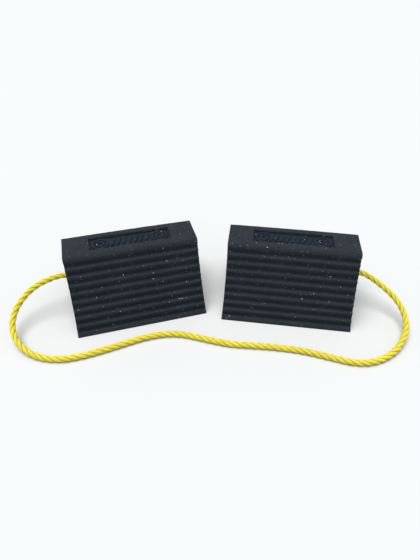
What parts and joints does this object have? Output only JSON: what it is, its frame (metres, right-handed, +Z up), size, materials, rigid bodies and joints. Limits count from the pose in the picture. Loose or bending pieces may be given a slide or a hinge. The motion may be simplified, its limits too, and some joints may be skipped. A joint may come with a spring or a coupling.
{
  "type": "wheel chock",
  "caption": "Pair of ribbed rubber wedge blocks that stop a wheel from rolling, joined by a length of laid rope.",
  "frame": {"origin": "on the ground, at about the middle of the box around the two blocks", "axes": "+X from the left block to the right one, +Y away from the stretch of rope that lies on the ground, +Z up"},
  "size_m": [0.6181, 0.2631, 0.1146],
  "materials": {
    "rubber": "matte, with pale crumb specks",
    "rope": "satin laid plastic fibre"
  },
  "bodies": {
    "left_chock": {"left_block": "rubber", "left_knot": "rope", "left_rope_tail": "rope", "rope_left_run": "rope", "rope_middle": "rope"},
    "right_chock": {"right_block": "rubber", "right_knot": "rope", "right_rope_tail": "rope", "rope_right_run": "rope"}
  },
  "joints": [
    {"name": "rope_swing", "type": "hinge", "parent": "left_chock", "child": "right_chock", "pos_m": [0.011, -0.1097, 0.0049], "axis": [0, 0, 1], "range_deg": [-150, 20], "deforming": ["rope_middle"]}
  ]
}
